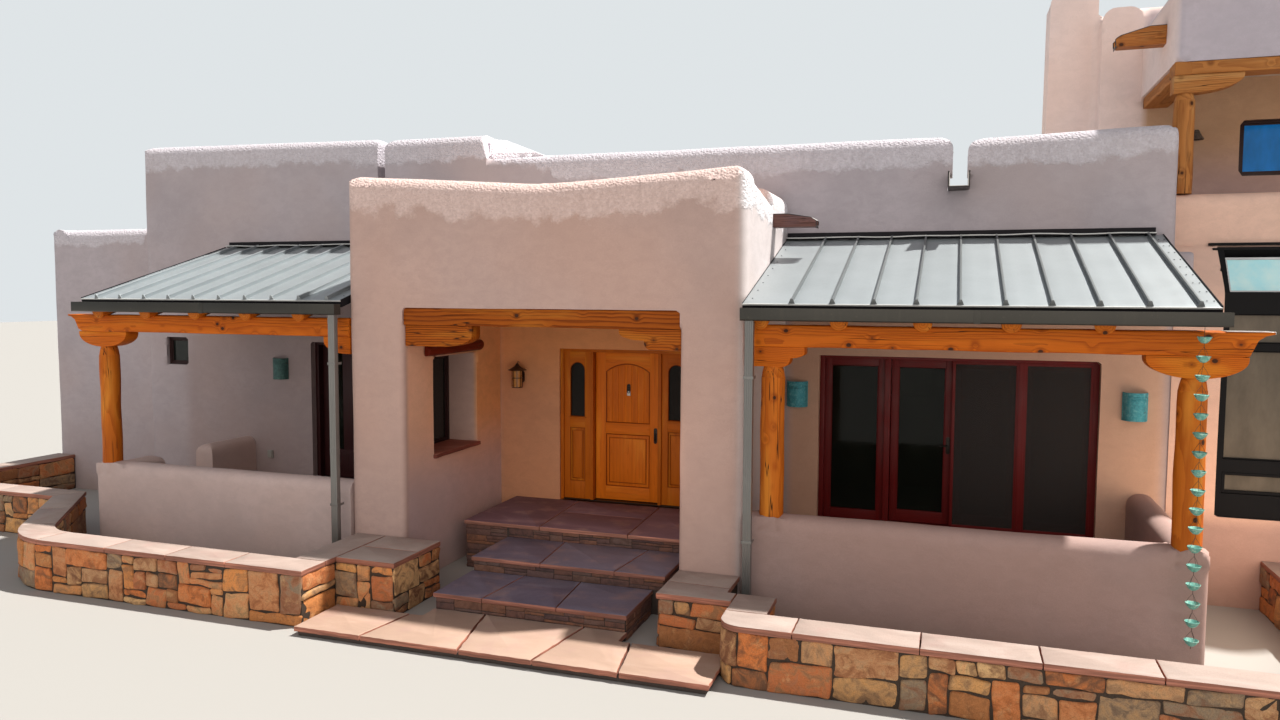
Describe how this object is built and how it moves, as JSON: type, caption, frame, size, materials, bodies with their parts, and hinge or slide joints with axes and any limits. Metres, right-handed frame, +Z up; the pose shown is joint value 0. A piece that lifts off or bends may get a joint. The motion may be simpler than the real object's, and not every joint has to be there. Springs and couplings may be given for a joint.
{
  "type": "adobe house",
  "caption": "Adobe-style house with a stepped entry porch, metal-roofed log porches, low walls, stone planters and a two-storey wing with a balcony.",
  "frame": {"origin": "centre of the whole house's box, at ground level under the lowest slab", "axes": "+Z up; +X to the right along the front; the front door and the porches face -Y"},
  "size_m": [21, 11.12, 7.8],
  "materials": {
    "main_stucco": "pinkish-tan hand-trowelled stucco in the shade",
    "entry_stucco": "pinkish-tan hand-trowelled stucco",
    "wing_stucco": "sunlit pinkish-tan stucco, coarser at the tops",
    "low_wall_stucco": "smooth pale stucco with worn tops",
    "planter_stone": "orange and brown ashlar stones with pale joints",
    "coping_stone": "pinkish sandstone slabs",
    "tread_stone": "red-pink sandstone slabs",
    "riser_stone": "thin stacked stones",
    "floor_tile": "reddish stone floor",
    "log_wood": "orange-stained peeled logs with knots and checks",
    "beam_wood": "orange-stained sawn timber",
    "door_wood": "honey-coloured varnished wood",
    "red_wood": "dark red stained wood",
    "roof_metal": "bronze-grey standing-seam metal",
    "gutter_metal": "bronze-grey painted metal",
    "patina_metal": "turquoise patinated metal",
    "bronze_metal": "dark bronze painted aluminium",
    "canale_metal": "dark weathered metal and wood",
    "roof_deck": "pale grey roofing",
    "pane_glass": "clear glass over a dark room"
  },
  "bodies": {
    "house": {"step_treads": "tread_stone", "step_risers": "riser_stone", "planter_walls": "planter_stone", "planter_copings": "coping_stone", "floor_slabs": "floor_tile", "entry_left_wall": "entry_stucco", "entry_right_wall": "entry_stucco", "entry_header_wall": "entry_stucco", "niche_lintel_log": "red_wood", "front_door_frame": "door_wood", "side_door_frame": "red_wood", "patio_door_frame": "red_wood", "main_wall_left": "main_stucco", "wall_over_side_door": "main_stucco", "main_wall_mid_left": "main_stucco", "wall_over_front_door": "main_stucco", "main_wall_mid_right": "main_stucco", "wall_over_patio_doors": "main_stucco", "main_wall_right": "main_stucco", "outer_walls": "main_stucco", "portal_low_walls": "low_wall_stucco", "timber_posts": "log_wood", "timber_corbels": "beam_wood", "timber_beams": "beam_wood", "log_rafters": "log_wood", "portal_roofs": "roof_metal", "gutters": "gutter_metal", "rain_chain": "patina_metal", "canales": "canale_metal", "flat_roofs": "roof_deck", "chimney": "wing_stucco", "sunspace_wall": "wing_stucco", "sunspace_frame": "bronze_metal", "balcony_wall": "wing_stucco", "wing_left_wall": "wing_stucco", "wing_right_wall": "wing_stucco", "upper_front_wall": "wing_stucco", "upper_header_wall": "wing_stucco", "window_frames": "red_wood", "window_glass": "pane_glass", "wall_lamps": "patina_metal"},
    "front_door": {"front_door": "door_wood"},
    "side_door": {"side_door": "red_wood"},
    "patio_door_left": {"patio_door_left": "red_wood"},
    "patio_door_right": {"patio_door_right": "red_wood"}
  },
  "joints": [
    {"name": "front_door_hinge", "type": "hinge", "parent": "house", "child": "front_door", "pos_m": [-0.303, -1.262, 0.6], "axis": [0, 0, 1], "range_deg": [0, 90]},
    {"name": "side_door_hinge", "type": "hinge", "parent": "house", "child": "side_door", "pos_m": [-4.787, -1.192, 0.6], "axis": [0, 0, 1], "range_deg": [0, 90]},
    {"name": "patio_left_hinge", "type": "hinge", "parent": "house", "child": "patio_door_left", "pos_m": [3.5855, -1.192, 0.6], "axis": [0, 0, 1], "range_deg": [0, 90]},
    {"name": "patio_right_hinge", "type": "hinge", "parent": "house", "child": "patio_door_right", "pos_m": [5.0345, -1.192, 0.6], "axis": [0, 0, -1], "range_deg": [0, 90]}
  ]
}
